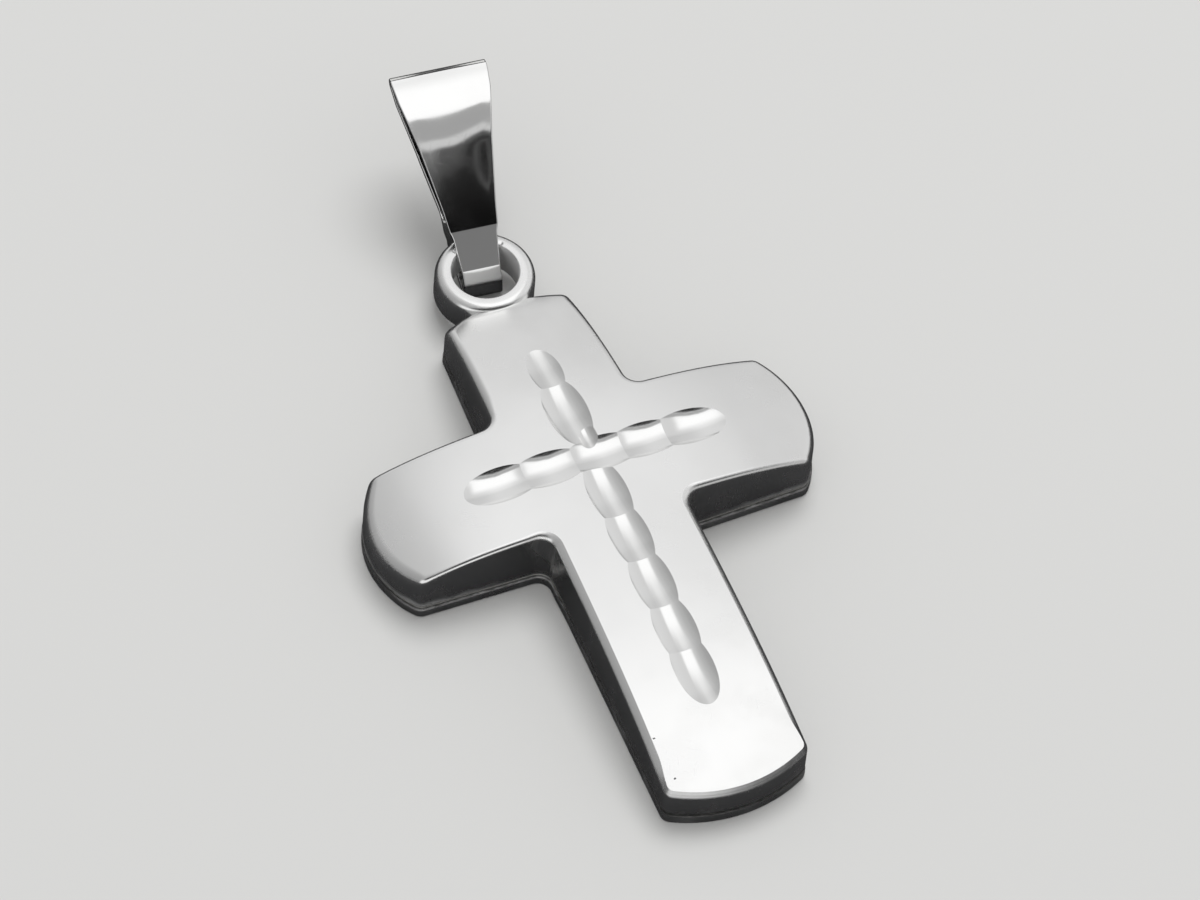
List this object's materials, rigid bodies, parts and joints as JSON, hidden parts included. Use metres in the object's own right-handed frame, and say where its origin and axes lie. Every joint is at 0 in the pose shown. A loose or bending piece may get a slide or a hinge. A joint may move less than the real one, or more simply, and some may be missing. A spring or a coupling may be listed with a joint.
{
  "type": "cross pendant",
  "caption": "Domed silver cross with a row of scooped cuts along its arms, a soldered ring at the top and a tapered folded bail that swings in the ring.",
  "frame": {"origin": "middle of the cross, where its arms cross, on its flat back", "axes": "+Z out of the engraved face, +Y along the upper arm towards the ring, +X along the right side arm"},
  "size_m": [0.023, 0.0418, 0.0073],
  "materials": {
    "cross_silver": "polished silver with fine wear, rough along the soldered seam",
    "bail_silver": "mirror-polished silver strap"
  },
  "bodies": {
    "pendant_body": {"cross": "cross_silver"},
    "bail_body": {"bail": "bail_silver"}
  },
  "joints": [
    {"name": "bail_swing", "type": "hinge", "parent": "pendant_body", "child": "bail_body", "pos_m": [0.00018, 0.01477, 0.00166], "axis": [0.9884, -0.1424, 0.0523], "range_deg": [-25, 90]}
  ]
}
